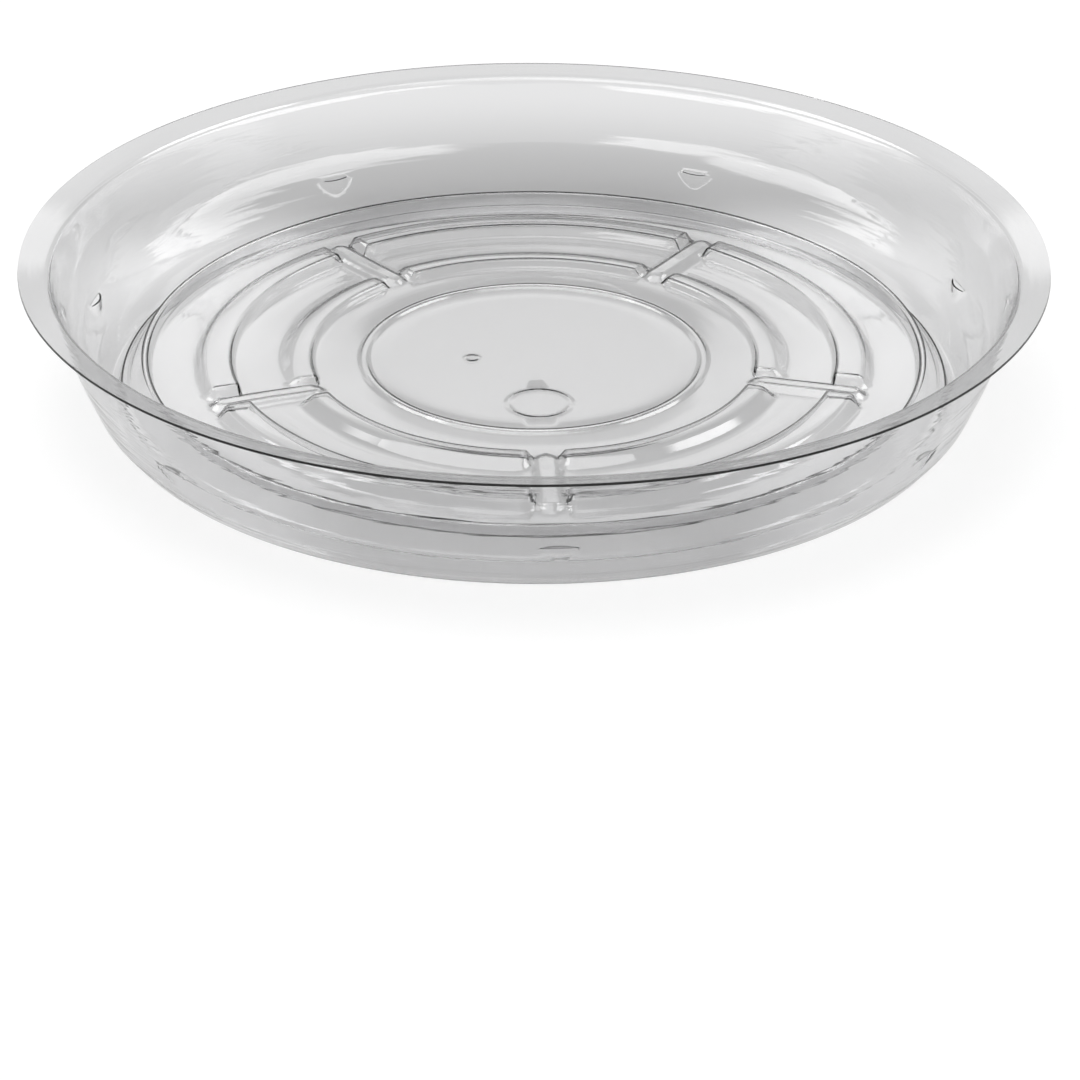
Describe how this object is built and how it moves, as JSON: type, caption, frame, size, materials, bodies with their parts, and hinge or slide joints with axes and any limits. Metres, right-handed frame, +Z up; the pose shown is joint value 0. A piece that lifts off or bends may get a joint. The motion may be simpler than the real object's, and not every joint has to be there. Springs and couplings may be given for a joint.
{
  "type": "plant saucer",
  "caption": "Round clear saucer pressed from thin plastic sheet, with a flat flange, a sloping wall, a foot ring, a raised ring round the floor, drainage ridges crossed by low bars, and stacking lugs.",
  "frame": {"origin": "centre of the foot ring, on the surface that the saucer stands on", "axes": "+Z up along the saucer's axis; -Y to the front, where the first radial bar and the first lug lie"},
  "size_m": [0.21, 0.21, 0.03],
  "materials": {
    "clear_sheet": "clear and glossy, with the faint waves of a drawn sheet"
  },
  "bodies": {
    "root": {"saucer": "clear_sheet"}
  },
  "joints": []
}
